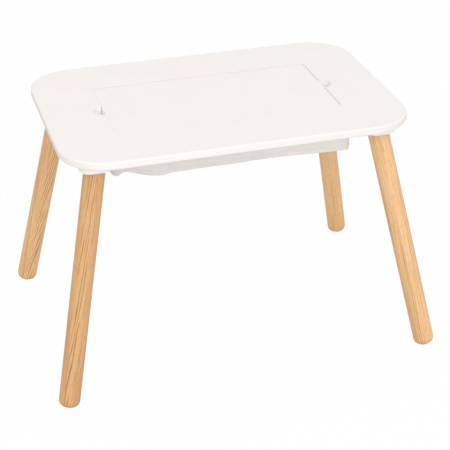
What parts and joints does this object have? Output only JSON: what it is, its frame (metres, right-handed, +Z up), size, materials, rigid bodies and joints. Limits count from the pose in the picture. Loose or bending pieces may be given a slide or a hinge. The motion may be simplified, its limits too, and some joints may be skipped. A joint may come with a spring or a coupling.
{
  "type": "kids table with storage",
  "caption": "Low rounded table with splayed round wooden legs and a lift-out lid with finger notches over a hanging fabric storage bag.",
  "frame": {"origin": "on the floor, under the middle of the table top", "axes": "+Z up, +X along the length of the top, -Y towards the front"},
  "size_m": [0.6832, 0.4756, 0.43],
  "materials": {
    "white_lacquer": "satin white lacquer on fibreboard",
    "white_paint": "matt white paint on wood",
    "natural_wood": "clear matt lacquer on light wood",
    "canvas": "off-white canvas",
    "woven_tape": "woven cotton tape",
    "zinc_steel": "zinc plated"
  },
  "bodies": {
    "table": {"table_top": "white_lacquer", "frame_rail_front": "white_paint", "frame_rail_back": "white_paint", "frame_rail_left": "white_paint", "frame_rail_right": "white_paint", "frame_screws": "zinc_steel", "storage_bag": "canvas", "rim_tape": "woven_tape", "bag_staples": "zinc_steel", "leg_block_front_left": "white_paint", "leg_block_front_right": "white_paint", "leg_block_back_left": "white_paint", "leg_block_back_right": "white_paint", "block_screws_front_left": "zinc_steel", "block_screws_front_right": "zinc_steel", "block_screws_back_left": "zinc_steel", "block_screws_back_right": "zinc_steel", "insert_nut_front_left": "zinc_steel", "insert_nut_front_right": "zinc_steel", "insert_nut_back_left": "zinc_steel", "insert_nut_back_right": "zinc_steel", "hanger_bolt_front_left": "zinc_steel", "hanger_bolt_front_right": "zinc_steel", "hanger_bolt_back_left": "zinc_steel", "hanger_bolt_back_right": "zinc_steel", "leg_front_left": "natural_wood", "leg_front_right": "natural_wood", "leg_back_left": "natural_wood", "leg_back_right": "natural_wood"},
    "lid": {"lid": "white_lacquer"}
  },
  "joints": [
    {"name": "lid_lift", "type": "slide", "parent": "table", "child": "lid", "axis": [0, 0, 1], "range_m": [0, 0.2]}
  ]
}
